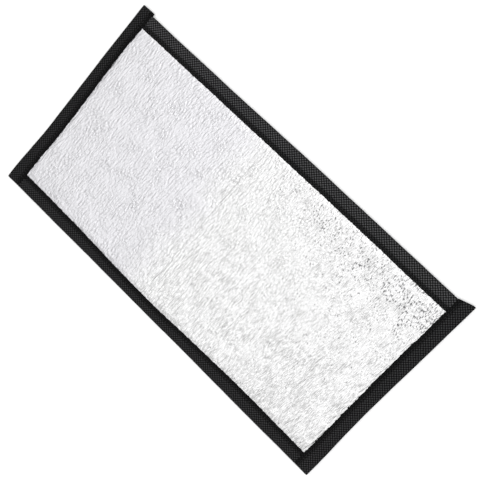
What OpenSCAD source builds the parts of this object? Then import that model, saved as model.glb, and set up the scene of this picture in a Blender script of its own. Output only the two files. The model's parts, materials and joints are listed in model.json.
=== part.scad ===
// Foil-faced foam sleeping pad with taped edges, folded once across its width.
// X runs along the pad, Y across it and Z up. The origin is the middle of the underside.

/* [Pad] */
// Length over the bound ends
pad_l = 950; // [700:10:2000]
// Width over the side tapes
pad_w = 500; // [350:5:700]
// Thickness of the foam inside the taped border
foam_t = 8; // [6:0.5:15]
// Thickness of the metallised film glued to the foam
film_t = 0.2; // [0.1:0.05:0.5]

/* [Fold] */
// Length of the short panel, from its bound end to the fold
short_panel_l = 418; // [200:1:475]
// Gap between the two panels' faces at the fold
fold_gap = 0.3; // [0.1:0.05:1]

/* [Binding tape] */
// Width of tape that shows on each face
tape_w = 33; // [20:1:45]
// Thickness of the tape
tape_t = 0.8; // [0.7:0.05:1.2]
// How far the end tapes stand out past the side tapes
end_overhang = 2; // [0.5:0.5:5]

/* [Stitching] */
// Distance from the tape's inner edge to the middle of its seam
stitch_inset = 8; // [3:0.5:12]
// Width of a seam's thread
thread_w = 0.8; // [0.4:0.1:1.5]
// Thickness of the thread, which its tension presses flat
thread_t = 0.4; // [0.2:0.05:0.5]
// Depth of the thread's outer face below the face of the tape
thread_sink = 0.1; // [0:0.05:0.15]

/* [Hidden] */

foam_colour = "#e9e9e4";
foil_colour = "#dcdde2";
tape_colour = "#242426";
thread_colour = "#0e0e10";

long_panel_l = pad_l - short_panel_l;
fold_x = short_panel_l - pad_l / 2;
half_w = pad_w / 2;
total_t = foam_t + film_t;

// The border of the foam is squeezed, which makes room for two layers of tape on each face.
border_lo = 2 * tape_t;
border_hi = total_t - 2 * tape_t - film_t;

// Where the binding's inner edges and the seams lie, across the pad
inner_y = half_w - tape_w;
seam_y = inner_y + stitch_inset;

// A cut reaches this far past the solid that it cuts.
past = 1;

// Both panels are drawn from the fold, at x = 0, out to their bound end at x = panel_l.
module long_panel() {
    translate([fold_x, 0, 0]) children();
}

module short_panel() {
    translate([fold_x, 0, 0]) mirror([1, 0, 0]) children();
}

// The binding is alike on both faces, so what is drawn on the upper face is turned over for the lower one.
module on_lower_face() {
    translate([0, 0, total_t]) mirror([0, 0, 1]) children();
}

module on_right_side() {
    mirror([0, 1, 0]) children();
}

// A box from one corner to the opposite one
module box(low, high) {
    translate(low) cube(high - low);
}

// The full thickness of the foam, inside the taped border and its film
module foam_block(panel_l) {
    block_y = inner_y - film_t;
    box([fold_gap / 2, -block_y, 0], [panel_l - tape_w - film_t, block_y, foam_t]);
}

module foam_core(panel_l) {
    border_y = half_w - tape_t;
    color(foam_colour) union() {
        foam_block(panel_l);
        box([fold_gap / 2, -border_y, border_lo], [panel_l - tape_t, border_y, border_hi]);
    }
}

// The film covers the foam's upper face, steps down with it and ends inside the fold of the tape.
module foil_facing(panel_l) {
    border_y = half_w - tape_t;
    color(foil_colour) difference() {
        union() {
            box([fold_gap / 2, -inner_y, border_hi], [panel_l - tape_w, inner_y, total_t]);
            box([fold_gap / 2, -border_y, border_hi],
                [panel_l - tape_t, border_y, border_hi + film_t]);
        }
        foam_block(panel_l);
    }
}

// The groove that the thread of a side seam pulls into the upper face of its tape
module side_groove(panel_l) {
    face = total_t - tape_t;
    box([0, seam_y - thread_w / 2, face - thread_sink - thread_t],
        [panel_l, seam_y + thread_w / 2, face + past]);
}

// A tape folded over the left edge. It ends inside the fold of the end tape.
module side_tape(panel_l) {
    color(tape_colour) difference() {
        box([fold_gap / 2, inner_y, tape_t], [panel_l - tape_t, half_w, total_t - tape_t]);
        box([0, inner_y - past, border_lo], [panel_l, half_w - tape_t, total_t - border_lo]);
        side_groove(panel_l);
        on_lower_face() side_groove(panel_l);
    }
}

// The thread of a side seam, on the upper face
module side_thread(panel_l) {
    face = total_t - tape_t - thread_sink;
    color(thread_colour)
        box([fold_gap / 2, seam_y - thread_w / 2, face - thread_t],
            [panel_l - tape_t, seam_y + thread_w / 2, face]);
}

// The end tape folded over the foam, between the side tapes
module end_tape_middle(panel_l) {
    difference() {
        box([panel_l - tape_w, -inner_y, tape_t], [panel_l, inner_y, total_t - tape_t]);
        box([panel_l - tape_w - past, -inner_y - past, border_lo],
            [panel_l - tape_t, inner_y + past, total_t - border_lo]);
    }
}

// The left end of the end tape, which steps out to lie over the end of the side tape
module end_tape_corner(panel_l) {
    start_y = inner_y - tape_t;
    end_y = half_w + end_overhang;
    difference() {
        box([panel_l - tape_w, start_y, 0], [panel_l, end_y, total_t]);
        box([panel_l - tape_w - past, start_y - past, tape_t],
            [panel_l - tape_t, end_y + past, total_t - tape_t]);
    }
}

// The run of an end seam along the upper face, with its thread's section grown upwards by grow.
// It climbs over the side tapes at both corners.
module end_seam(panel_l, grow) {
    seam_x = panel_l - tape_w + stitch_inset;
    step_y = inner_y - tape_t;
    low_face = total_t - tape_t - thread_sink;
    high_face = total_t - thread_sink;
    box([seam_x - thread_w / 2, -step_y, low_face - thread_t],
        [seam_x + thread_w / 2, step_y, low_face + grow]);
    for (side = [0, 1]) mirror([0, side, 0]) {
        box([seam_x - thread_w / 2, step_y - thread_t, low_face - thread_t],
            [seam_x + thread_w / 2, step_y, high_face + grow]);
        box([seam_x - thread_w / 2, step_y - thread_t, high_face - thread_t],
            [seam_x + thread_w / 2, half_w + end_overhang, high_face + grow]);
    }
}

// The tape folded over a panel's bound end
module end_tape(panel_l) {
    color(tape_colour) difference() {
        union() {
            end_tape_middle(panel_l);
            end_tape_corner(panel_l);
            on_right_side() end_tape_corner(panel_l);
        }
        end_seam(panel_l, past);
        on_lower_face() end_seam(panel_l, past);
    }
}

module end_thread(panel_l) {
    color(thread_colour) end_seam(panel_l, 0);
}

long_panel() foam_core(long_panel_l);  // foam_core_long
short_panel() foam_core(short_panel_l);  // foam_core_short
long_panel() foil_facing(long_panel_l);  // foil_facing_long
short_panel() foil_facing(short_panel_l);  // foil_facing_short
long_panel() end_tape(long_panel_l);  // end_tape_long
short_panel() end_tape(short_panel_l);  // end_tape_short
long_panel() side_tape(long_panel_l);  // left_tape_long
short_panel() side_tape(short_panel_l);  // left_tape_short
on_right_side() long_panel() side_tape(long_panel_l);  // right_tape_long
on_right_side() short_panel() side_tape(short_panel_l);  // right_tape_short
long_panel() end_thread(long_panel_l);  // end_needle_thread_long
short_panel() end_thread(short_panel_l);  // end_needle_thread_short
on_lower_face() long_panel() end_thread(long_panel_l);  // end_bobbin_thread_long
on_lower_face() short_panel() end_thread(short_panel_l);  // end_bobbin_thread_short
long_panel() side_thread(long_panel_l);  // left_needle_thread_long
short_panel() side_thread(short_panel_l);  // left_needle_thread_short
on_lower_face() long_panel() side_thread(long_panel_l);  // left_bobbin_thread_long
on_lower_face() short_panel() side_thread(short_panel_l);  // left_bobbin_thread_short
on_right_side() long_panel() side_thread(long_panel_l);  // right_needle_thread_long
on_right_side() short_panel() side_thread(short_panel_l);  // right_needle_thread_short
on_right_side() on_lower_face() long_panel() side_thread(long_panel_l);  // right_bobbin_thread_long
on_right_side() on_lower_face() short_panel() side_thread(short_panel_l);  // right_bobbin_thread_short
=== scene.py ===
"""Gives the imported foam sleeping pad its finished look: foam, foil, folded tape and sewn seams."""

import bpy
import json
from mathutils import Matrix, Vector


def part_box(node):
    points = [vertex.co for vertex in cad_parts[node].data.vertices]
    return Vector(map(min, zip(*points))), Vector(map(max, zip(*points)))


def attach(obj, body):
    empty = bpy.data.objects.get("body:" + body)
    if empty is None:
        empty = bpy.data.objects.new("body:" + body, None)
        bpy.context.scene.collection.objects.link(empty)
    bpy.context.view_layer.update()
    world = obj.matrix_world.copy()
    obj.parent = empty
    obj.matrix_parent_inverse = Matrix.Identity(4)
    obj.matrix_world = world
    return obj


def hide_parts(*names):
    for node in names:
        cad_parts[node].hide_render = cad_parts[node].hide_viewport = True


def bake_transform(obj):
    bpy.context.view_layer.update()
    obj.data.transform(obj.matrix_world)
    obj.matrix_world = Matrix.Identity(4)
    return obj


bl_info = {
    "name": "Foil Faced Foam Pad",
    "version": (1, 0, 0),
    "blender": (4, 5, 0),
    "location": "View3D > Sidebar > Foam Pad",
    "description": "Builds a foil-faced foam sleeping pad with sewn tape folded over its edges",
    "category": "Object",
}

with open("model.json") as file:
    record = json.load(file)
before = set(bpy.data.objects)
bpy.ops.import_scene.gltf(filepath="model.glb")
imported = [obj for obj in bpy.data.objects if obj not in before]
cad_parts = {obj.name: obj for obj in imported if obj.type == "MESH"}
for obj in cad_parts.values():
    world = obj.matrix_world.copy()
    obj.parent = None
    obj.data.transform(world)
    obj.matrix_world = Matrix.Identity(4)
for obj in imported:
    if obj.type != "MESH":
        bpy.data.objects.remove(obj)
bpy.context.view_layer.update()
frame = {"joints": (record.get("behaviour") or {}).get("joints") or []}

import json
import math

import bmesh
import bpy
import numpy as np
from bpy.props import FloatProperty, FloatVectorProperty, PointerProperty
from mathutils import Quaternion, Vector

MM = 0.001

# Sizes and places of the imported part, in metres

LONG, SHORT = "long_panel", "short_panel"
END_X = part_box("end_tape_long")[1].x
SIDE_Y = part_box("left_tape_long")[1].y
TAPE_W = SIDE_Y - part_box("left_tape_long")[0].y
TOP_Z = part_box("foil_facing_long")[1].z
TAPE_T = TOP_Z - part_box("left_tape_long")[1].z
MID_Z = TOP_Z / 2
SEAM_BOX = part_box("left_needle_thread_long")
SEAM_INSET = (SEAM_BOX[0].y + SEAM_BOX[1].y) / 2 - (SIDE_Y - TAPE_W)
FOLD_X = frame["joints"][0]["pos_m"][0]
FOLD_Z = frame["joints"][0]["pos_m"][2]

# Sizes that the soft surfaces share

# How far in from a bound edge the tape's round fold ends, and with it the foam
NOSE = 4.5 * MM
# Gap between a tape and what it lies on
SKIN_GAP = 0.05 * MM
# The slope to the border reaches this far in under the tape
SLOPE_COVERED = 5 * MM
# Widths of the hollows that a seam, a row of stitches and the crease pull into the faces
SEAM_HOLLOW, STITCH_HOLLOW, CREASE_HOLLOW = 3.5 * MM, 3.2 * MM, 2.7 * MM
# The foil lies this far below the pad's full height in the open, and this much lower under the tape
FILM_DROP, FILM_DROP_COVERED = 0.15 * MM, 0.12 * MM
# Lowest and highest that ripples and crinkles together may reach
RELIEF_LOW, RELIEF_HIGH = -0.45 * MM, 0.3 * MM
# Area that a random surface covers before it repeats
PAD_AREA, BAND_AREA = (1.0, 0.6), (1.6, 0.6)
# The faces that a tape's two leaves and the two threads of a seam lie on
UPPER, LOWER = 1, -1


def ease(t):
    """0 below 0, 1 above 1 and a smooth step between."""
    t = np.clip(t, 0.0, 1.0)
    return t * t * (3 - 2 * t)


def bump_at(value, centre, width):
    """1 at the centre, falling smoothly to almost 0 two widths away."""
    return np.exp(-(((value - centre) / width) ** 2))


def wander(s, seed, size, longest):
    """A slow, repeatable drift along s, of about the given size, in waves of at most that length."""
    rng = np.random.default_rng(seed)
    drift = np.zeros_like(np.asarray(s, float))
    for octave in range(4):
        wave = longest / 1.9**octave
        drift += 0.6**octave * np.sin(2 * np.pi * (s / wave + rng.random()))
    usual_sum = 1.6
    return drift * size / usual_sum


class Edge:
    """One bound edge of the pad. s runs along it and d inwards from its straight outline.

    faded is how clearly its tape's weave shows, from 0 to 1, which lightens the tape as painted light.
    overhang gives how far the tape's ends stand past the sides, as {sign of the end: (at its inner edge,
    at its fold)}.
    """

    def __init__(self, name, axis, sign, seed, faded, width, flare, overhang):
        self.name, self.axis, self.sign, self.seed, self.faded = name, axis, sign, seed, faded
        self.limit = END_X if axis == 0 else SIDE_Y
        self.width_at, self.flare_at, self.overhang = width, flare, overhang

    def local(self, x, y):
        across, along = (x, y) if self.axis == 0 else (y, x)
        return self.limit - self.sign * across, along

    def world(self, d, s):
        across = self.sign * (self.limit - d)
        return (across, s) if self.axis == 0 else (s, across)

    def width(self, s):
        """How wide the tape shows at s."""
        return TAPE_W + self.width_at(s) + wander(s, self.seed, 0.35 * MM, 0.16)

    def flare(self, s):
        """How far the tape's fold stands out past the straight outline at s."""
        return self.flare_at(s) + wander(s, self.seed + 1, 0.3 * MM, 0.3)

    def seam(self, s):
        return self.width(s) - SEAM_INSET


# Each tape drifts in its own way, in width and in outline, as one sewn by hand does.
# Each tape's fourth setting lightens its colour as painted light: most on the left tape, which faces the
# slanting light, least on the short panel's end tape.
LEFT = Edge(
    "left", 1, 1, seed=11, faded=1.0,
    width=lambda s: MM * (0.5 + 2.5 * ease((s - 0.15) / 0.3)),
    flare=lambda s: MM * (0.3 + 1.4 * bump_at(s, 0.08, 0.18) + 0.8 * bump_at(s, -0.43, 0.05)),
    overhang=None,
)
RIGHT = Edge(
    "right", 1, -1, seed=21, faded=0.15,
    width=lambda s: MM * (1.5 - 7.4 * bump_at(s, -0.05, 0.18) - 2.0 * ease((s - 0.28) / 0.14)),
    flare=lambda s: MM * (1.0 + 0.7 * ease((s - 0.1) / 0.2)),
    overhang=None,
)
LONG_END = Edge(
    "end", 0, 1, seed=31, faded=0.12,
    width=lambda s: MM * (-1.7 + 1.9 * bump_at(s, 0.03, 0.12)),
    flare=lambda s: MM * (2.1 + 4.2 * ease((-0.04 - s) / 0.2) + 3.2 * ease((s + 0.06) / 0.3)),
    overhang={1: (0.5 * MM, 11.0 * MM), -1: (0.5 * MM, 1.5 * MM)},
)
SHORT_END = Edge(
    "end", 0, -1, seed=41, faded=0.0,
    width=lambda s: MM * (-1.7 + 3.2 * bump_at(s, -0.05, 0.09) + 3.5 * ease((s - 0.17) / 0.08)),
    flare=lambda s: MM * (-0.7 - 1.2 * ease((s - 0.05) / 0.2) + 6.0 * ease((-0.09 - s) / 0.15)),
    overhang={1: (7.5 * MM, 7.0 * MM), -1: (0.5 * MM, 1.0 * MM)},
)
EDGES = (LEFT, RIGHT, LONG_END, SHORT_END)
# The end edges with the body that each rides on and the panel in its pieces' names
ENDS = ((LONG_END, LONG, "long"), (SHORT_END, SHORT, "short"))


class PadShape(bpy.types.PropertyGroup):
    """Sizes of the pad's soft surfaces."""

    border_drop: FloatProperty(
        name="Border Drop", description="How far the foam's faces sink where the tape squeezes them",
        default=1.4 * MM, unit="LENGTH", subtype="DISTANCE", precision=5,
    )
    border_slope: FloatProperty(
        name="Border Slope", description="Width of the slope from the full thickness down to the border",
        default=17 * MM, unit="LENGTH", subtype="DISTANCE", precision=4,
    )
    seam_dip: FloatProperty(
        name="Seam Dip", description="How much further a seam pulls the faces in",
        default=0.8 * MM, unit="LENGTH", subtype="DISTANCE", precision=5,
    )
    stitch_pitch: FloatProperty(
        name="Stitch Pitch", description="Distance from one stitch hole to the next",
        default=8 * MM, unit="LENGTH", subtype="DISTANCE", precision=4,
    )
    pucker: FloatProperty(
        name="Pucker", description="Depth of the dimple that each stitch pulls into the tape",
        default=0.35 * MM, unit="LENGTH", subtype="DISTANCE", precision=5,
    )
    scallop: FloatProperty(
        name="Scallop", description="How far the tape's inner edge is drawn in between stitches",
        default=0.45 * MM, unit="LENGTH", subtype="DISTANCE", precision=5,
    )
    ripple_pitch: FloatProperty(
        name="Ripple Pitch",
        description="Distance from one ripple of the foil to the next, along the pad",
        default=8 * MM, unit="LENGTH", subtype="DISTANCE", precision=4,
    )
    ripple_height: FloatProperty(
        name="Ripple Height", description="Usual height of a ripple of the foil",
        default=0.18 * MM, unit="LENGTH", subtype="DISTANCE", precision=5,
    )
    crinkle_height: FloatProperty(
        name="Crinkle Height", description="Usual height of the foil's irregular crinkles",
        default=0.13 * MM, unit="LENGTH", subtype="DISTANCE", precision=5,
    )
    band_height: FloatProperty(
        name="Band Height", description="Usual height of the broad bands that run along the pad",
        default=0.10 * MM, unit="LENGTH", subtype="DISTANCE", precision=5,
    )
    crease_depth: FloatProperty(
        name="Crease Depth", description="Depth of the crease that the pad folds along",
        default=0.75 * MM, unit="LENGTH", subtype="DISTANCE", precision=5,
    )
    crease_reach: FloatProperty(
        name="Crease Reach",
        description="Distance from the crease's line to where the pad stays flat in a fold",
        default=2.5 * MM, unit="LENGTH", subtype="DISTANCE", precision=5,
    )


class PadFinish(bpy.types.PropertyGroup):
    """Colours of the pad's materials."""

    foil: FloatVectorProperty(
        name="Foil", description="Colour of the bright foil",
        default=(0.692, 0.691, 0.692), size=3, subtype="COLOR", min=0, max=1,
    )
    # Painted shade: this darker, slightly lilac colour goes on the short panel, where the foil reflects
    # a dimmer part of the sky, and a little of it on soft random patches.
    foil_shade_and_patches: FloatVectorProperty(
        name="Dull Foil", description="Colour of the foil where handling has dulled it",
        default=(0.638, 0.632, 0.658), size=3, subtype="COLOR", min=0, max=1,
    )
    tape: FloatVectorProperty(
        name="Tape", description="Colour of the tape's yarns",
        default=(0.075, 0.075, 0.0775), size=3, subtype="COLOR", min=0, max=1,
    )
    # Painted shade: this near-black colour stands for the shade between the yarns.
    tape_gap_shade: FloatVectorProperty(
        name="Tape Gaps", description="Colour between the tape's yarns",
        default=(0.001, 0.001, 0.001), size=3, subtype="COLOR", min=0, max=1,
    )
    thread: FloatVectorProperty(
        name="Thread", description="Colour of the sewing thread",
        default=(0.006, 0.006, 0.0065), size=3, subtype="COLOR", min=0, max=1,
    )
    foam: FloatVectorProperty(
        name="Foam", description="Colour of the foam",
        default=(0.66, 0.66, 0.645), size=3, subtype="COLOR", min=0, max=1,
    )
    yarn_pitch: FloatProperty(
        name="Yarn Pitch", description="Distance between the tape's yarns",
        default=5 * MM, unit="LENGTH", subtype="DISTANCE", precision=5,
    )


class PadStage(bpy.types.PropertyGroup):
    """Camera, light and floor."""

    lens: FloatProperty(
        name="Lens", description="Focal length for a 36 mm sensor",
        default=60.0, unit="CAMERA", subtype="NONE",
    )
    distance: FloatProperty(
        name="Distance", description="From the camera to the point that it looks at",
        default=1.7254, unit="LENGTH", subtype="DISTANCE",
    )
    azimuth: FloatProperty(
        name="Azimuth", description="Direction to the camera, turned from +X towards +Y",
        default=math.radians(58.66), subtype="ANGLE",
    )
    elevation: FloatProperty(
        name="Elevation", description="Height of the camera above the floor, as an angle",
        default=math.radians(73.4), subtype="ANGLE",
    )
    roll: FloatProperty(
        name="Roll", description="Turn of the camera about its own line of sight",
        default=math.radians(-105.92), subtype="ANGLE",
    )
    target: FloatVectorProperty(
        name="Target", description="Point that the camera looks at",
        default=(0.0299, 0.0237, 0.008), size=3, subtype="TRANSLATION", unit="LENGTH",
    )
    walls: FloatProperty(
        name="Walls", description="Strength of the light from the sides",
        default=0.9, min=0,
    )
    cornice: FloatProperty(
        name="Cornice", description="Strength of the light from between the sides and the ceiling",
        default=0.6, min=0,
    )
    ceiling: FloatProperty(
        name="Ceiling", description="Strength of the light from above",
        default=1.2, min=0,
    )
    glow: FloatProperty(
        name="Glow", description="Extra strength of the light from almost straight above",
        default=0.6, min=0,
    )
    fill: FloatProperty(
        name="Fill", description="Strength of the slanting light that brightens the floor",
        default=0.8, min=0,
    )


def shape():
    return bpy.context.scene.pad_shape


def finish_settings():
    return bpy.context.scene.pad_finish


# The pad's surfaces, as functions of place


def sunk(d, width):
    """How far a face lies below the pad's full height, d in from an edge whose tape is that wide."""
    p = shape()
    slope = 1 - ease((d - (width - SLOPE_COVERED)) / p.border_slope)
    return p.border_drop * slope + p.seam_dip * bump_at(d, width - SEAM_INSET, SEAM_HOLLOW)


def half_thickness(x, y):
    """Half the thickness of foam and film at a place, with no crease."""
    total = 0
    # A high power lets the slopes of two edges run into each other softly at a corner.
    for edge in EDGES:
        d, s = edge.local(x, y)
        total = total + sunk(np.maximum(d, 0), edge.width(s)) ** 4
    return MID_Z - total**0.25


def in_crease(x):
    """1 on the line of the crease, falling to 0 on both sides."""
    return bump_at(x, FOLD_X, CREASE_HOLLOW)


def crease(x):
    """Depth of the soft crease in the upper face, along the fold."""
    return shape().crease_depth * in_crease(x)


def below_fold(x, z):
    """Z kept low enough for the two panels' upper faces not to meet at the fold."""
    p = shape()
    share = np.clip(1 - ((x - FOLD_X) / p.crease_reach) ** 2, 0, 1)
    trough = 0.43 * p.crease_reach * share**1.3
    return np.minimum(z, FOLD_Z - 0.15 * MM - trough)


def over_side_tape(y):
    """1 where an end tape lies over a side tape, and 0 between the side tapes."""
    start, ramp = SIDE_Y - TAPE_W - 2 * MM, 3 * MM
    return ease((np.abs(y) - start) / ramp)


def tape_half(edge, d, s):
    """Half thickness at a tape's outer face, without thread marks."""
    x, y = edge.world(d, s)
    half = half_thickness(x, y) + SKIN_GAP + TAPE_T
    if edge.axis == 1:
        return half
    # The side tape underneath is round at its fold. Past it the end tape's leaves come together.
    rounding = np.sqrt(1 - (1 - np.clip((SIDE_Y - np.abs(y)) / NOSE, 0, 1)) ** 2)
    closed = 1.2 * TAPE_T + 0.3 * MM
    lifted = np.maximum((half + SKIN_GAP) * rounding + TAPE_T, closed)
    return half + (lifted - half) * over_side_tape(y)


def stitch_wave(s):
    """1 at a stitch hole and 0 halfway to the next."""
    return 0.5 + 0.5 * np.cos(2 * np.pi * s / shape().stitch_pitch)


def tape_face(edge, d, s, side):
    """Z of a tape's outer face on the upper or the lower side."""
    p = shape()
    x, _ = edge.world(d, s)
    half = tape_half(edge, d, s)
    drawn = p.pucker * stitch_wave(s) * bump_at(d, edge.seam(s), STITCH_HOLLOW)
    unevenness = wander(s, edge.seed + 3 + side, 0.07 * MM, 0.09)
    unevenness = unevenness * np.sin(np.clip(d / edge.width(s), 0, 1) * np.pi)
    half = half - drawn + unevenness
    if side == UPPER:
        return below_fold(x, MID_Z + half)
    above_ground = 0.03 * MM
    return np.maximum(MID_Z - half, above_ground)


# Random surfaces, each a lattice of heights that repeats


class Texture:
    """Random heights on a lattice of the given size and step, with a spread of 1.

    band says how strong each pair of wave numbers is. A call reads between the lattice's points.
    """

    def __init__(self, seed, size, step, band):
        rng = np.random.default_rng(seed)
        count = [int(length / step) for length in size]
        noise = np.fft.fft2(rng.standard_normal(count))
        along = np.fft.fftfreq(count[0], step)[:, None]
        across = np.fft.fftfreq(count[1], step)[None, :]
        field = np.fft.ifft2(noise * band(along, across)).real
        self.field, self.step = field / field.std(), step

    def __call__(self, x, y):
        rows, cols = self.field.shape
        u, v = x / self.step, y / self.step
        i, j = np.floor(u).astype(int), np.floor(v).astype(int)
        fu, fv = u - i, v - j
        near, far = i % rows, (i + 1) % rows
        left, right = j % cols, (j + 1) % cols
        low = self.field[near, left] * (1 - fu) + self.field[far, left] * fu
        high = self.field[near, right] * (1 - fu) + self.field[far, right] * fu
        return low * (1 - fv) + high * fv


def ribs(pitch, run, spread):
    """Ripples across the pad, a pitch apart and each about a run long, as a band for Texture."""
    def band(fx, fy):
        return np.exp(-(((np.abs(fx) * pitch - 1) / spread) ** 2) - (fy * run) ** 2)
    return band


def lumps(pitch, spread):
    """Even lumps about a pitch apart, with no direction."""
    def band(fx, fy):
        radius = np.hypot(fx, fy) * pitch
        return np.exp(-(((radius - 1) / spread) ** 2))
    return band


def streaks(pitch, run):
    """Broad bands along the pad, a pitch apart."""
    def band(fx, fy):
        return np.exp(-(((np.abs(fy) * pitch - 1) / 0.4) ** 2) - (fx * run) ** 2)
    return band


def long_side(x, y):
    """1 on the long panel and 0 on most of the short one, with a soft change before the crease."""
    before, ramp = 85 * MM, 115 * MM
    return ease((x - FOLD_X + before + wander(y, 5, 20 * MM, 0.3)) / ramp)


def far_end(x):
    """0 up to the pad's middle and 1 near the long panel's end."""
    return ease((x - 0.08) / 0.3)


def lower_side(x, y):
    """1 along the right side of the long panel, falling to 0 past its middle and at the crease."""
    return long_side(x, y) * ease((0.06 - y) / 0.16)


def wrinkles(x, y):
    """Soft slanting wrinkles that run into the crease from the short panel."""
    rng = np.random.default_rng(61)
    height = np.zeros_like(x)
    count = 9
    for _ in range(count):
        cy = rng.uniform(-0.19, 0.03)
        cx = FOLD_X - rng.uniform(20, 60) * MM
        turn = math.radians(rng.uniform(-60, -42))
        run, wide = rng.uniform(25, 45) * MM, rng.uniform(3.0, 5.0) * MM
        u = (x - cx) * math.cos(turn) + (y - cy) * math.sin(turn)
        v = -(x - cx) * math.sin(turn) + (y - cy) * math.cos(turn)
        height += rng.uniform(0.1, 0.25) * MM * np.exp(-((u / run) ** 2) - (v / wide) ** 2)
    return height


def ribbed(x, y):
    """Share of long straight ribs in the film's finest relief. The rest is short crinkles."""
    uneven = Texture(87, PAD_AREA, 4 * MM, lumps(60 * MM, 0.6))(x, y)
    return np.clip(0.45 + 0.2 * far_end(x) + 0.3 * lower_side(x, y) + 0.15 * uneven, 0, 1)


def dark_speck_share(x, y):
    """How thick the painted dark specks lie: on the long panel, most of all by its left tape and left
    corner. They stand for steep facets of the foil that reflect darker surroundings.
    """
    far = (x - FOLD_X) / (END_X - FOLD_X)
    corner = bump_at(x, 0.43, 0.07) * bump_at(y, 0.17, 0.05)
    row = bump_at(y, 0.18, 0.04) * ease((x + 0.06) / 0.1)
    uneven = Texture(86, PAD_AREA, 4 * MM, lumps(35 * MM, 0.6))(x, y)
    share = 0.25 * ease(2 * far) + 0.3 * far * ease((y + 0.05) / 0.2) + 0.45 * row + 0.5 * corner
    return np.clip(share * (1 + 0.35 * uneven), 0, 1.2)


def foil_height(x, y):
    """Z of the foil."""
    p = shape()
    patch = Texture(82, PAD_AREA, 5 * MM, lumps(110 * MM, 0.5))(x, y)
    ripple = Texture(83, PAD_AREA, 1 * MM, ribs(p.ripple_pitch, 14 * MM, 0.40))(x, y)
    crinkle = Texture(84, PAD_AREA, 1 * MM, lumps(8 * MM, 0.45))(x, 0.6 * y)
    bands = Texture(85, BAND_AREA, 5 * MM, streaks(75 * MM, 0.5))(x, y)
    side, lower, far = long_side(x, y), lower_side(x, y), far_end(x)
    ripple_share = 0.45 + 0.1 * side + 0.3 * lower + 0.2 * far + 0.4 * far * lower + 0.22 * patch
    crinkle_share = 0.15 + 0.6 * side - 0.4 * lower - 0.3 * far - 0.2 * patch
    drawn = p.ripple_height * np.clip(ripple_share, 0.15, 1.3) * ripple
    drawn += p.crinkle_height * np.clip(crinkle_share, 0.1, 1.3) * crinkle
    open_share = 1.0
    for edge in EDGES:
        d, s = edge.local(x, y)
        open_share = open_share * ease((d - edge.width(s) + 1 * MM) / (7 * MM))
    quiet = 1 - 0.8 * in_crease(x)
    relief = quiet * np.clip(drawn, RELIEF_LOW, RELIEF_HIGH) + wrinkles(x, y) + p.band_height * bands
    height = MID_Z + half_thickness(x, y) - FILM_DROP
    height += open_share * relief - (1 - open_share) * FILM_DROP_COVERED
    return below_fold(x, height - crease(x))


# Mesh making


def stations(low, high, step, fold=False):
    """Evenly spread places from low to high. With fold, they lie close together near the fold."""
    if not fold:
        return np.linspace(low, high, max(2, round((high - low) / step) + 1))
    reach, count = shape().crease_reach + 0.5 * MM, 19
    close = np.linspace(FOLD_X - reach, FOLD_X + reach, count)
    before = stations(low, close[0], step)[:-1]
    after = stations(close[-1], high, step)[1:]
    return np.concatenate([before, close, after])


def lattice_faces(rows, cols, wrap=False):
    """Quads between a lattice's points, numbered row by row. wrap joins its last and first column."""
    i = np.arange(rows - 1)[:, None]
    j = np.arange(cols if wrap else cols - 1)[None, :]
    k = (j + 1) % cols
    corners = (i * cols + j, (i + 1) * cols + j, (i + 1) * cols + k, i * cols + k)
    return np.stack([np.broadcast_to(c, (rows - 1, j.size)).ravel() for c in corners], 1)


def new_piece(name, points, faces, uv, material):
    """A smooth-shaded mesh object. faces is a list of arrays of quads or triangles."""
    mesh = bpy.data.meshes.new(name)
    mesh.from_pydata(points.tolist(), [], [f for block in faces for f in block.tolist()])
    mesh.validate()
    layer = mesh.uv_layers.new(name="surface")
    corner = np.zeros(len(mesh.loops), np.int32)
    mesh.loops.foreach_get("vertex_index", corner)
    layer.data.foreach_set("uv", uv[corner].astype(np.float32).ravel())
    mesh.polygons.foreach_set("use_smooth", np.ones(len(mesh.polygons), bool))
    mesh.materials.append(material)
    piece = bpy.data.objects.new(name, mesh)
    bpy.context.scene.collection.objects.link(piece)
    return piece


def turn_faces_out(piece):
    """Makes every face of a closed mesh point outwards, and keeps hard edges hard."""
    work = bmesh.new()
    work.from_mesh(piece.data)
    bmesh.ops.recalc_face_normals(work, faces=work.faces)
    work.to_mesh(piece.data)
    work.free()
    piece.data.set_sharp_from_angle(angle=math.radians(50))


def add_value(piece, name, values):
    attribute = piece.data.attributes.new(name, "FLOAT", "POINT")
    attribute.data.foreach_set("value", values.astype(np.float32).ravel())


def hinge(piece):
    """Bakes a piece's placement into its mesh."""
    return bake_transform(piece)


def both_panels(name):
    return f"{name}_long", f"{name}_short"


# Foam and foil


def slab_lattice(margin, step, under_step):
    """X and Y of a sheet's points, up to margin inside the outline, under_step apart below the tape."""
    bare = TAPE_W - 9 * MM
    finest_y = 2.8 * MM
    out_x, out_y = END_X - margin, SIDE_Y - margin
    in_x, in_y = END_X - bare, SIDE_Y - bare
    xs = [
        stations(-out_x, -in_x, under_step)[:-1],
        stations(-in_x, in_x, step, fold=True),
        stations(in_x, out_x, under_step)[1:],
    ]
    ys = [
        stations(-out_y, -in_y, under_step)[:-1],
        stations(-in_y, in_y, max(step, finest_y)),
        stations(in_y, out_y, under_step)[1:],
    ]
    return np.meshgrid(np.concatenate(xs), np.concatenate(ys), indexing="ij")


def make_foil():
    x, y = slab_lattice(NOSE + 1 * MM, 1.6 * MM, 5 * MM)
    z = foil_height(x, y)
    points = np.stack([x, y, z], -1).reshape(-1, 3)
    flat = points[:, :2]
    material = foil_material()
    piece = new_piece("foil_facing", points, [lattice_faces(*x.shape)], flat, material)
    # Where the foil's dark specks lie, which its material paints in as dark reflections.
    add_value(piece, "pitted", dark_speck_share(x, y))
    add_value(piece, "ribbed", ribbed(x, y))
    # The short panel, where this is low, gets the foil's darker colour as painted shade.
    add_value(piece, "bright_side", long_side(x, y))
    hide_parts(*both_panels("foil_facing"))
    return hinge(piece)


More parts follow.
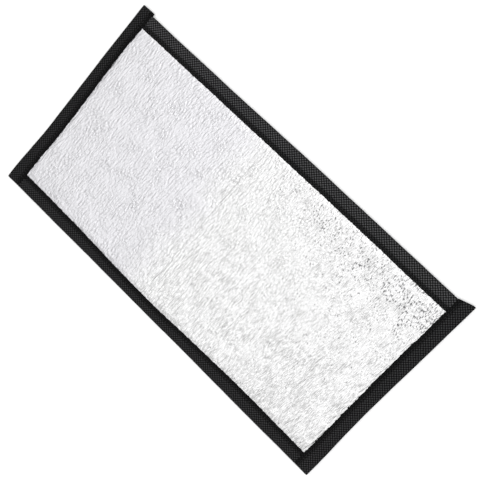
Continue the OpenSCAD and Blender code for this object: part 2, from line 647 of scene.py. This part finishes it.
def make_foam():
    x, y = slab_lattice(NOSE, 6 * MM, 4 * MM)
    rows, cols = x.shape
    half = half_thickness(x, y)
    dents = np.clip(Texture(91, PAD_AREA, 2 * MM, lumps(26 * MM, 0.5))(x, y), -1, 3)
    below_film, dent_depth = 0.85 * MM, 0.04 * MM
    top = MID_Z + half - below_film - crease(x)
    low = np.maximum(MID_Z - half + dent_depth * (1 + dents), 0)
    points = np.concatenate([np.stack([x, y, z], -1).reshape(-1, 3) for z in (top, low)])
    upper = lattice_faces(rows, cols)
    lower = upper[:, ::-1] + rows * cols
    number = np.arange(rows * cols).reshape(rows, cols)
    rim = np.concatenate([number[0, :-1], number[:-1, -1], number[-1, :0:-1], number[:0:-1, 0]])
    after = np.roll(rim, -1)
    wall = np.stack([rim, after, after + rows * cols, rim + rows * cols], 1)
    flat = points[:, :2]
    piece = new_piece("foam_core", points, [upper, lower, wall], flat, foam_material())
    turn_faces_out(piece)
    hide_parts(*both_panels("foam_core"))
    return hinge(piece)


# Tape


# Places across a leaf of tape, from its inner edge to its fold, as shares of the leaf
LEAF_STEPS = (
    0, 0.012, 0.035, 0.08, 0.13, 0.18, 0.225, 0.265, 0.305,
    0.35, 0.41, 0.49, 0.58, 0.68, 0.79, 0.9, 1,
)
# Share of its thickness that the tape has at the first of those places, where its edge is round
EDGE_ROUND = (0.45, 0.85, 1.0)
# Places round the fold between the two leaves
NOSE_STEPS = 8


def tape_section(edge, s, wall):
    """One shell of a folded tape, from the upper leaf's inner edge round the fold to the lower leaf's.

    It is (d, place along the edge, z), with a row for each s. wall is the shell's depth in the tape.
    """
    p = shape()
    s = s[:, None]
    inner = edge.width(s) + p.scallop * (0.5 - stitch_wave(s))
    inner = inner + wander(s, edge.seed + 5, 0.45 * MM, 0.02)
    start = NOSE - edge.flare(s)
    share = np.array(LEAF_STEPS)[None, :]
    leaf_d = inner + (start - inner) * share
    depth = np.full(leaf_d.shape, float(wall))
    if wall == 0:
        depth[:, : len(EDGE_ROUND)] = TAPE_T * (1 - np.array(EDGE_ROUND))
    leaf_s = s + overhang_at(edge, leaf_d, s)
    upper = tape_face(edge, leaf_d, leaf_s, UPPER) - depth
    lower = tape_face(edge, leaf_d, leaf_s, LOWER) + depth
    turn = np.linspace(0, np.pi, NOSE_STEPS + 2)[None, 1:-1]
    nose_d = start - (NOSE - wall) * np.sin(turn)
    top, low = upper[:, -1:], lower[:, -1:]
    nose_z = (top + low) / 2 + (top - low) / 2 * np.cos(turn)
    nose_s = s + overhang_at(edge, nose_d, s)
    d = np.concatenate([leaf_d, nose_d, leaf_d[:, ::-1]], 1)
    z = np.concatenate([upper, nose_z, lower[:, ::-1]], 1)
    run = np.concatenate([leaf_s, nose_s, leaf_s[:, ::-1]], 1)
    return d, run, z


def overhang_at(edge, d, s):
    """How far a point of an end tape is moved along it, so that its ends stand past the sides."""
    if edge.overhang is None:
        return np.zeros(np.broadcast_shapes(d.shape, s.shape))
    moved = 0
    for sign, (at_inner, at_fold) in edge.overhang.items():
        end = ease((sign * s - (SIDE_Y - TAPE_W)) / TAPE_W)
        reach = at_fold + (at_inner - at_fold) * np.clip(d / TAPE_W, 0, 1)
        moved = moved + sign * end * reach
    return moved


def make_tape(name, edge, s):
    """A strip of tape folded over an edge, as one closed mesh."""
    outer, inner = tape_section(edge, s, 0), tape_section(edge, s, TAPE_T)
    d, run, z = (np.concatenate([a, b[:, ::-1]], 1) for a, b in zip(outer, inner))
    x, y = edge.world(d, run)
    points = np.stack([x, y, z], -1)
    rows, cols = z.shape
    half = cols // 2
    across = np.hypot(np.diff(d[:, :half], axis=1), np.diff(z[:, :half], axis=1))
    across = np.concatenate([np.zeros((rows, 1)), np.cumsum(across, 1)], 1)
    across = np.concatenate([across, across[:, ::-1]], 1)
    uv = np.stack([run, across], -1).reshape(-1, 2)
    sides = lattice_faces(rows, cols, wrap=True)
    j = np.arange(half - 1)
    cap = np.stack([j, j + 1, cols - 2 - j, cols - 1 - j], 1)
    caps = [cap, cap[:, ::-1] + (rows - 1) * cols]
    piece = new_piece(name, points.reshape(-1, 3), [sides, *caps], uv, tape_material())
    # Painted shade: these darken the tape along its seam, in the band inside the seam and round its
    # fold, where it slopes and curves away from the light. The squeezing of the weave there is partly
    # real.
    inside = 0.75 * ease((d - edge.seam(run)) / (2 * MM))
    near_seam = bump_at(d, edge.seam(run), 3.0 * MM)
    near_fold = 0.8 * ease((3.5 * MM - d - edge.flare(run)) / (5 * MM))
    add_value(piece, "pressed", np.maximum(np.maximum(inside, near_fold), near_seam))
    # Each tape's share of painted light.
    add_value(piece, "faded", np.full(z.shape, edge.faded))
    turn_faces_out(piece)
    return piece


# Seams


# Rings of points along one stitch, and points in each ring
STITCH_RINGS, STITCH_SIDES = 9, 8


def make_seam(name, edge, reach, side):
    """A row of lock stitches on one face of a tape. Each rises from one hole and goes down the next."""
    pitch = shape().stitch_pitch
    start = np.arange(math.ceil(-reach / pitch), math.floor(reach / pitch))[:, None, None] * pitch
    t = np.linspace(0, 1, STITCH_RINGS)[None, :, None]
    turn = np.linspace(0, 2 * np.pi, STITCH_SIDES, endpoint=False)[None, None, :]
    rng = np.random.default_rng(edge.seed + 7)
    lean = rng.uniform(0.05, 0.35, start.shape) * MM
    hole = 0.08
    along = start + pitch * (hole + (1 - 2 * hole) * t)
    seam_d = edge.seam(along)
    arch = np.sin(np.pi * t)
    swell = np.maximum(arch, 0.02) ** 0.35
    face = tape_face(edge, seam_d, along, side)
    lift = (-0.25 + 0.45 * np.maximum(arch, 0) ** 0.5) * MM
    half_width, half_height = 0.55 * MM * swell, 0.36 * MM * swell
    d = seam_d + (2 * t - 1) * lean + half_width * np.cos(turn)
    z = face + side * (lift + half_height * np.sin(turn))
    u = np.broadcast_to(along, d.shape)
    x, y = edge.world(d, u)
    points = np.stack([x, y, np.maximum(z, 0)], -1)
    wall = lattice_faces(STITCH_RINGS, STITCH_SIDES, wrap=True)
    end_cap = np.arange(STITCH_SIDES)[None, :]
    each = STITCH_RINGS * STITCH_SIDES
    firsts = [k * each for k in range(len(points))]
    faces = [wall + first for first in firsts]
    faces += [end_cap[:, ::-1] + first for first in firsts]
    faces += [end_cap + first + each - STITCH_SIDES for first in firsts]
    girth = 3 * MM
    v = np.broadcast_to(turn / (2 * np.pi) * girth, d.shape)
    uv = np.stack([u, v], -1).reshape(-1, 2)
    piece = new_piece(name, points.reshape(-1, 3), faces, uv, thread_material())
    turn_faces_out(piece)
    return piece


# Materials


class Nodes:
    """Adds and joins shader nodes in one tree."""

    def __init__(self, tree):
        self.tree = tree
        self.column = 0

    def add(self, kind, **settings):
        node = self.tree.nodes.new("ShaderNode" + kind)
        self.column += 180
        node.location = (self.column, 0)
        for name, value in settings.items():
            setattr(node, name, value)
        return node

    def join(self, source, target):
        """Links an output to an input, or sets the input to a constant."""
        if isinstance(source, (int, float, tuple)):
            target.default_value = source
        else:
            self.tree.links.new(source, target)

    def maths(self, operation, a, b=0.0, clamp=False):
        node = self.add("Math", operation=operation, use_clamp=clamp)
        self.join(a, node.inputs[0])
        self.join(b, node.inputs[1])
        return node.outputs[0]

    def mix(self, share, a, b):
        """a where share is 0 and b where it is 1, for values."""
        node = self.add("Mix", data_type="FLOAT")
        for source, socket in ((share, 0), (a, 2), (b, 3)):
            self.join(source, node.inputs[socket])
        return node.outputs[0]

    def mix_colour(self, share, a, b):
        """a where share is 0 and b where it is 1, for colours."""
        node = self.add("Mix", data_type="RGBA")
        for source, socket in ((share, 0), (a, 6), (b, 7)):
            self.join(source, node.inputs[socket])
        return node.outputs[2]

    def noise(self, vector, scale=1.0, detail=2.0, roughness=0.5):
        node = self.add("TexNoise")
        self.join(vector, node.inputs["Vector"])
        self.join(scale, node.inputs["Scale"])
        node.inputs["Detail"].default_value = detail
        node.inputs["Roughness"].default_value = roughness
        return node.outputs["Fac"]

    def remap(self, value, low, high, to_low, to_high):
        """Moves the value from low..high to to_low..to_high, and keeps it in there."""
        node = self.add("MapRange")
        self.join(value, node.inputs["Value"])
        names = ("From Min", "From Max", "To Min", "To Max")
        for name, number in zip(names, (low, high, to_low, to_high)):
            node.inputs[name].default_value = number
        return node.outputs["Result"]

    def stretched(self, vector, wide, run, degrees):
        """The vector in units of wide and run, turned by that many degrees."""
        node = self.add("Mapping", vector_type="TEXTURE")
        self.join(vector, node.inputs["Vector"])
        node.inputs["Rotation"].default_value = (0, 0, math.radians(degrees))
        node.inputs["Scale"].default_value = (wide, run, 1)
        return node.outputs["Vector"]

    def surface_uv(self):
        return self.add("UVMap", uv_map="surface").outputs["UV"]

    def value(self, name):
        return self.add("Attribute", attribute_name=name).outputs["Fac"]

    def group(self, tree, **inputs):
        """Places a node group with these inputs, and returns its outputs."""
        node = self.add("Group", node_tree=tree)
        for name, source in inputs.items():
            self.join(source, node.inputs[name.replace("_", " ").title()])
        return node.outputs

    def bump(self, height, strength, distance, normal=None):
        node = self.add("Bump")
        node.inputs["Strength"].default_value = strength
        node.inputs["Distance"].default_value = distance
        self.join(height, node.inputs["Height"])
        if normal is not None:
            self.join(normal, node.inputs["Normal"])
        return node.outputs["Normal"]


def new_group(name, inputs, outputs):
    """A shader node group with the named sockets: (group, its nodes, input node, output node)."""
    tree = bpy.data.node_groups.new(name, "ShaderNodeTree")
    for socket, (kind, default) in inputs.items():
        kind = "NodeSocket" + kind
        made = tree.interface.new_socket(name=socket, in_out="INPUT", socket_type=kind)
        if default is not None:
            made.default_value = default
    for socket, kind in outputs.items():
        tree.interface.new_socket(name=socket, in_out="OUTPUT", socket_type="NodeSocket" + kind)
    return tree, Nodes(tree), tree.nodes.new("NodeGroupInput"), tree.nodes.new("NodeGroupOutput")


def woven_group():
    """Plain weave laid on the slant. Yarns at 45 degrees to the tape pass over each other in turn."""
    name = "slanting_weave"
    if name in bpy.data.node_groups:
        return bpy.data.node_groups[name]
    tree, n, given, out = new_group(
        name,
        {"Surface": ("Vector", None), "Pitch": ("Float", 5 * MM)},
        {"Height": "Float", "Yarn": "Float"},
    )
    split = n.add("SeparateXYZ")
    n.join(given.outputs["Surface"], split.inputs[0])
    step = n.maths("MULTIPLY", given.outputs["Pitch"], math.sqrt(2))
    # Places across the two sets of yarns, counted in yarns
    places = [
        n.maths("DIVIDE", n.maths(way, split.outputs[0], split.outputs[1]), step)
        for way in ("ADD", "SUBTRACT")
    ]
    domes = [
        n.maths("SINE", n.maths("MULTIPLY", n.maths("FRACT", place), math.pi)) for place in places
    ]
    cell = n.maths("ADD", *(n.maths("FLOOR", place) for place in places))
    over = n.maths("FLOORED_MODULO", cell, 2.0)
    # The yarn on top is flat along its run and round across it.
    flat, round_off = 0.45, 1.2
    tops = [
        n.maths("MULTIPLY", n.maths("POWER", domes[0], a), n.maths("POWER", domes[1], b))
        for a, b in ((flat, round_off), (round_off, flat))
    ]
    height = n.mix(over, *tops)
    n.join(height, out.inputs["Height"])
    # Painted shade: the Yarn mask falls to 0 in the gaps and down the yarns' round flanks, where the
    # near-black gap colour stands for the shade in the weave's hollows.
    n.join(n.remap(height, 0.3, 0.9, 0.0, 1.0), out.inputs["Yarn"])
    return tree


def grain_group():
    """Fine even grain, as a height and as a value round one half."""
    name = "fine_grain"
    if name in bpy.data.node_groups:
        return bpy.data.node_groups[name]
    tree, n, given, out = new_group(
        name,
        {"Surface": ("Vector", None), "Scale": ("Float", 900.0), "Contrast": ("Float", 1.0)},
        {"Value": "Float", "Height": "Float"},
    )
    fine = n.noise(given.outputs["Surface"], given.outputs["Scale"], 3.0, 0.6)
    centred = n.maths("SUBTRACT", fine, 0.5)
    spread = n.maths("MULTIPLY", centred, given.outputs["Contrast"])
    n.join(n.maths("ADD", spread, 0.5, clamp=True), out.inputs["Value"])
    n.join(fine, out.inputs["Height"])
    return tree


def patches_group():
    """Large soft patches, such as handling leaves, as a mask."""
    name = "soft_patches"
    if name in bpy.data.node_groups:
        return bpy.data.node_groups[name]
    tree, n, given, out = new_group(
        name,
        {"Surface": ("Vector", None), "Scale": ("Float", 12.0), "Amount": ("Float", 1.0)},
        {"Mask": "Float"},
    )
    broad = n.noise(given.outputs["Surface"], given.outputs["Scale"], 4.0, 0.55)
    mask = n.remap(broad, 0.38, 0.66, 0.0, 1.0)
    n.join(n.maths("MULTIPLY", mask, given.outputs["Amount"], clamp=True), out.inputs["Mask"])
    return tree


def new_material(name):
    """A material with one Principled shader: (material, its nodes, the shader's inputs)."""
    material = bpy.data.materials.new(name)
    material.use_nodes = True
    nodes = Nodes(material.node_tree)
    return material, nodes, material.node_tree.nodes["Principled BSDF"].inputs


def colour(rgb, strength=1.0):
    """The colour for a socket, lighter or darker by that factor."""
    return (*(strength * value for value in rgb), 1.0)


# Sizes of the film's finest marks, in the order that Nodes.stretched takes them:
# across the ribs, along them, and their turn from the pad's width in degrees
FINE_RIBS = (4.1 * MM, 24 * MM, -3.0)
FINE_CRINKLES = (4.1 * MM, 7.5 * MM, -10.0)
DARK_SPECKS = (3.0 * MM, 6.5 * MM, 12.0)
# Painted dark reflection: the colour of the dark specks, which stand for steep facets of the foil
# reflecting darker surroundings.
DARK_REFLECTION_COLOUR = (0.08, 0.08, 0.084)


def foil_material():
    material, n, shader = new_material("metallised_film")
    c = finish_settings()
    uv = n.surface_uv()
    patch = n.group(patches_group(), surface=uv, scale=14.0, amount=0.5)["Mask"]
    grain = n.group(grain_group(), surface=uv, scale=420.0, contrast=1.6)
    bright = n.value("bright_side")
    # Painted shade: the short panel's foil gets the darker colour, standing for the dimmer sky that it
    # reflects there. Soft random patches add some of it as real tone, with a little more roughness.
    shade_and_patches = n.maths("MULTIPLY", n.maths("SUBTRACT", 1.0, bright, clamp=True), 0.75)
    shade_and_patches = n.maths("ADD", shade_and_patches, n.maths("MULTIPLY", patch, 0.15), clamp=True)
    film = n.mix_colour(shade_and_patches, colour(c.foil), colour(c.foil_shade_and_patches))
    # Painted dark reflection: dark specks mixed into the foil's colour, thickest where the speck share
    # attribute is high.
    specks = n.noise(n.stretched(uv, *DARK_SPECKS))
    specks = n.maths("ADD", specks, n.maths("MULTIPLY", n.value("pitted"), 0.14))
    painted_specks = n.remap(specks, 0.69, 0.77, 0.0, 0.85)
    n.join(n.mix_colour(painted_specks, film, colour(DARK_REFLECTION_COLOUR)), shader["Base Color"])
    rough = n.remap(grain["Value"], 0, 1, 0.16, 0.26)
    n.join(n.maths("ADD", n.maths("MULTIPLY", shade_and_patches, 0.1), rough), shader["Roughness"])
    shader["Metallic"].default_value = 1.0
    fine_ribs = n.noise(n.stretched(uv, *FINE_RIBS))
    fine_crinkles = n.noise(n.stretched(uv, *FINE_CRINKLES))
    relief = n.mix(n.value("ribbed"), fine_crinkles, fine_ribs)
    relief = n.maths("MULTIPLY", relief, n.remap(patch, 0, 0.5, 1.1, 0.8))
    relief = n.maths("MULTIPLY", relief, n.remap(bright, 0, 1, 1.12, 1.2))
    n.join(n.bump(relief, 1.0, 3.4 * MM), shader["Normal"])
    return material


def foam_material():
    material, n, shader = new_material("closed_cell_foam")
    c = finish_settings()
    uv = n.surface_uv()
    patch = n.group(patches_group(), surface=uv, scale=9.0, amount=0.35)["Mask"]
    grain = n.group(grain_group(), surface=uv, scale=700.0, contrast=1.0)
    cells = n.add("TexVoronoi", feature="F1")
    n.join(uv, cells.inputs["Vector"])
    cells.inputs["Scale"].default_value = 520.0
    wall = n.remap(cells.outputs["Distance"], 0.1, 0.75, 1.0, 0.0)
    shade = n.mix_colour(patch, colour(c.foam), colour(c.foam, 0.93))
    # Painted shade: the foam is darker towards the edges of its cells, where the bump makes hollows
    # between the domed cells.
    cell_hollow_shade = n.remap(wall, 0.0, 1.0, 0.25, 0.0)
    n.join(n.mix_colour(cell_hollow_shade, shade, colour(c.foam, 0.8)), shader["Base Color"])
    n.join(n.remap(grain["Value"], 0, 1, 0.55, 0.75), shader["Roughness"])
    height = n.maths("ADD", wall, n.maths("MULTIPLY", grain["Height"], 0.4))
    n.join(n.bump(height, 0.5, 0.4 * MM), shader["Normal"])
    return material


def tape_material():
    name = "woven_tape"
    if name in bpy.data.materials:
        return bpy.data.materials[name]
    material, n, shader = new_material(name)
    c = finish_settings()
    uv = n.surface_uv()
    weave = n.group(woven_group(), surface=uv, pitch=c.yarn_pitch)
    grain = n.group(grain_group(), surface=uv, scale=1600.0, contrast=1.8)
    patch = n.group(patches_group(), surface=uv, scale=18.0, amount=0.5)["Mask"]
    pressed = n.value("pressed")
    yarn = n.mix_colour(grain["Value"], colour(c.tape, 0.65), colour(c.tape, 1.45))
    # Along a seam, in the band inside it and round its fold, the yarns hardly show: partly real pressing
    # of the weave and partly painted shade where the sloping, curving tape gets less light.
    loose = n.maths("SUBTRACT", 1.0, n.maths("MULTIPLY", pressed, 0.95))
    shown = n.maths("MULTIPLY", weave["Yarn"], loose)
    shown = n.maths("MULTIPLY", shown, n.remap(patch, 0, 1, 0.9, 1.1))
    # Painted light: each tape's own share lightens it, most on the tape that faces the slanting light.
    shown = n.maths("MULTIPLY", shown, n.remap(n.value("faded"), 0, 1, 0.45, 1.0))
    # The gap colour is painted shade in the weave's hollows.
    shade = n.mix_colour(shown, colour(c.tape_gap_shade), yarn)
    n.join(shade, shader["Base Color"])
    n.join(n.remap(grain["Value"], 0, 1, 0.6, 0.85), shader["Roughness"])
    shader["Specular IOR Level"].default_value = 0.05
    raised = n.maths("SUBTRACT", 1.0, n.maths("MULTIPLY", pressed, 0.5))
    relief = n.maths("MULTIPLY", weave["Height"], raised)
    fuzz = n.bump(grain["Height"], 0.3, 0.15 * MM)
    n.join(n.bump(relief, 0.8, 0.7 * MM, fuzz), shader["Normal"])
    return material


def thread_material():
    name = "sewing_thread"
    if name in bpy.data.materials:
        return bpy.data.materials[name]
    material, n, shader = new_material(name)
    c = finish_settings()
    uv = n.surface_uv()
    split = n.add("SeparateXYZ")
    n.join(uv, split.inputs[0])
    twist_pitch = 1.2 * MM
    slant = n.maths("ADD", split.outputs[0], n.maths("MULTIPLY", split.outputs[1], 0.8))
    ply = n.maths("SINE", n.maths("MULTIPLY", slant, 2 * math.pi / twist_pitch))
    ply = n.remap(ply, -1, 1, 0, 1)
    grain = n.group(grain_group(), surface=uv, scale=2200.0, contrast=1.5)
    # Painted shade and highlight: the thread's colour follows the twist, darker in the grooves between
    # plies and lighter on their crests.
    n.join(n.mix_colour(ply, colour(c.thread, 0.5), colour(c.thread, 1.6)), shader["Base Color"])
    n.join(n.remap(grain["Value"], 0, 1, 0.4, 0.6), shader["Roughness"])
    shader["Specular IOR Level"].default_value = 0.35
    n.join(n.bump(ply, 0.6, 0.15 * MM), shader["Normal"])
    return material


def floor_material():
    material, _, shader = new_material("pale_floor")
    shader["Base Color"].default_value = (0.93, 0.93, 0.93, 1.0)
    shader["Roughness"].default_value = 0.9
    shader["Specular IOR Level"].default_value = 0.1
    return material


# Operators


class PAD_OT_foam_core(bpy.types.Operator):
    """Builds the foam core"""

    bl_idname = "pad.foam_core"
    bl_label = "Build Foam Core"

    def execute(self, context):
        make_foam()
        return {"FINISHED"}


class PAD_OT_foil_facing(bpy.types.Operator):
    """Builds the rippled foil that faces the foam"""

    bl_idname = "pad.foil_facing"
    bl_label = "Build Foil Facing"

    def execute(self, context):
        make_foil()
        return {"FINISHED"}


class PAD_OT_side_tapes(bpy.types.Operator):
    """Builds the two long strips of tape folded over the sides"""

    bl_idname = "pad.side_tapes"
    bl_label = "Build Side Tapes"

    def execute(self, context):
        reach = END_X - NOSE - 1 * MM
        for edge in (LEFT, RIGHT):
            s = stations(-reach, reach, shape().stitch_pitch / 4, fold=True)
            piece = make_tape(f"{edge.name}_tape", edge, s)
            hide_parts(*both_panels(f"{edge.name}_tape"))
            hinge(piece)
        return {"FINISHED"}


class PAD_OT_end_tapes(bpy.types.Operator):
    """Builds the two short strips of tape folded over the ends"""

    bl_idname = "pad.end_tapes"
    bl_label = "Build End Tapes"

    def execute(self, context):
        for edge, body, panel in ENDS:
            s = stations(-SIDE_Y, SIDE_Y, shape().stitch_pitch / 4)
            piece = make_tape(f"end_tape_of_{panel}_panel", edge, s)
            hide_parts(f"end_tape_{panel}")
            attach(piece, body)
        return {"FINISHED"}


class PAD_OT_seams(bpy.types.Operator):
    """Sews the tapes down with rows of lock stitches on both faces"""

    bl_idname = "pad.seams"
    bl_label = "Sew Seams"

    def execute(self, context):
        for side, thread in ((UPPER, "needle_thread"), (LOWER, "bobbin_thread")):
            for edge in (LEFT, RIGHT):
                name = f"{edge.name}_{thread}"
                piece = make_seam(name, edge, END_X - TAPE_W, side)
                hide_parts(*both_panels(name))
                hinge(piece)
            for edge, body, panel in ENDS:
                name = f"end_{thread}_of_{panel}_panel"
                piece = make_seam(name, edge, SIDE_Y - 1 * MM, side)
                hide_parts(f"end_{thread}_{panel}")
                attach(piece, body)
        return {"FINISHED"}


class PAD_OT_stage(bpy.types.Operator):
    """Sets up the floor, the lights and the camera"""

    bl_idname = "pad.stage"
    bl_label = "Set Stage"

    def execute(self, context):
        scene, p = context.scene, context.scene.pad_stage
        make_floor(scene)
        make_lights(scene, p)
        make_camera(scene, p)
        return {"FINISHED"}


def make_floor(scene):
    reach, drop = 40.0, 0.3 * MM
    corners = [(x * reach, y * reach, -drop) for x, y in ((-1, -1), (1, -1), (1, 1), (-1, 1))]
    mesh = bpy.data.meshes.new("floor")
    mesh.from_pydata(corners, [], [(0, 1, 2, 3)])
    mesh.materials.append(floor_material())
    floor = bpy.data.objects.new("floor", mesh)
    scene.collection.objects.link(floor)


# The glow in the ceiling: where it lies, and the fall in the cosine over which it fades
GLOW_DIRECTION = Vector((0.07, -0.22, 1.0)).normalized()
GLOW_WIDTH = 0.055
# The slanting light comes from this side, and is this broad
FILL_FROM = Vector((0.7, 1.1, 1.9))
FILL_ANGLE = math.radians(40)


def make_lights(scene, p):
    """A pale sky with a darker cornice and a soft glow in its ceiling, and a broad slanting light."""
    world = bpy.data.worlds.new("soft_sky")
    world.use_nodes = True
    n = Nodes(world.node_tree)
    sky = world.node_tree.nodes["Background"].inputs
    sky["Color"].default_value = (1.0, 1.0, 1.0, 1.0)
    split = n.add("SeparateXYZ")
    direction = n.add("TexCoord").outputs["Generated"]
    n.join(direction, split.inputs[0])
    height = split.outputs[2]
    near_glow = n.add("VectorMath", operation="DOT_PRODUCT")
    n.join(direction, near_glow.inputs[0])
    near_glow.inputs[1].default_value = GLOW_DIRECTION
    off_glow = n.maths("SUBTRACT", near_glow.outputs["Value"], 1.0)
    glow = n.maths("EXPONENT", n.maths("DIVIDE", off_glow, GLOW_WIDTH))
    walls = n.remap(height, 0.2, 0.5, p.walls, p.cornice)
    broad = n.remap(height, 0.5, 0.85, 0.0, p.ceiling - p.cornice)
    above = n.maths("ADD", broad, n.maths("MULTIPLY", glow, p.glow))
    n.join(n.maths("ADD", walls, above), sky["Strength"])
    scene.world = world
    # The foil sends most of this light away from the camera, so it brightens the floor more.
    light = bpy.data.lights.new("slanting", "SUN")
    light.energy, light.angle = p.fill, FILL_ANGLE
    fill = bpy.data.objects.new(light.name, light)
    fill.location = FILL_FROM
    fill.rotation_mode = "QUATERNION"
    fill.rotation_quaternion = (-FILL_FROM).to_track_quat("-Z", "Y")
    scene.collection.objects.link(fill)


def make_camera(scene, p):
    data = bpy.data.cameras.new("camera")
    data.lens, data.sensor_width = p.lens, 36.0
    camera = bpy.data.objects.new("camera", data)
    flat = math.cos(p.elevation)
    back = Vector((flat * math.cos(p.azimuth), flat * math.sin(p.azimuth), math.sin(p.elevation)))
    camera.location = Vector(p.target) + back * p.distance
    camera.rotation_mode = "QUATERNION"
    level = (-back).to_track_quat("-Z", "Y")
    camera.rotation_quaternion = level @ Quaternion((0, 0, 1), p.roll)
    scene.collection.objects.link(camera)
    scene.camera = camera
    scene.view_settings.view_transform = "Standard"


class PAD_PT_sidebar(bpy.types.Panel):
    """The pad's settings and build steps"""

    bl_idname = "PAD_PT_sidebar"
    bl_label = "Foam Pad"
    bl_space_type = "VIEW_3D"
    bl_region_type = "UI"
    bl_category = "Foam Pad"

    def draw(self, context):
        scene = context.scene
        for settings in (scene.pad_shape, scene.pad_finish, scene.pad_stage):
            box = self.layout.box()
            for name in settings.bl_rna.properties.keys():
                if name not in ("rna_type", "name"):
                    box.prop(settings, name)
        for step in STEPS:
            self.layout.operator(f"pad.{step}")


STEPS = ("stage", "foam_core", "foil_facing", "side_tapes", "end_tapes", "seams")
CLASSES = (
    PadShape, PadFinish, PadStage, PAD_OT_foam_core, PAD_OT_foil_facing, PAD_OT_side_tapes,
    PAD_OT_end_tapes, PAD_OT_seams, PAD_OT_stage, PAD_PT_sidebar,
)
SETTINGS = {"pad_shape": PadShape, "pad_finish": PadFinish, "pad_stage": PadStage}


def register():
    for cls in CLASSES:
        bpy.utils.register_class(cls)
    for name, group in SETTINGS.items():
        setattr(bpy.types.Scene, name, PointerProperty(type=group))


def unregister():
    for name in SETTINGS:
        delattr(bpy.types.Scene, name)
    for cls in reversed(CLASSES):
        bpy.utils.unregister_class(cls)


def main():
    register()
    for step in STEPS:
        getattr(bpy.ops.pad, step)()


if __name__ == "__main__":
    main()
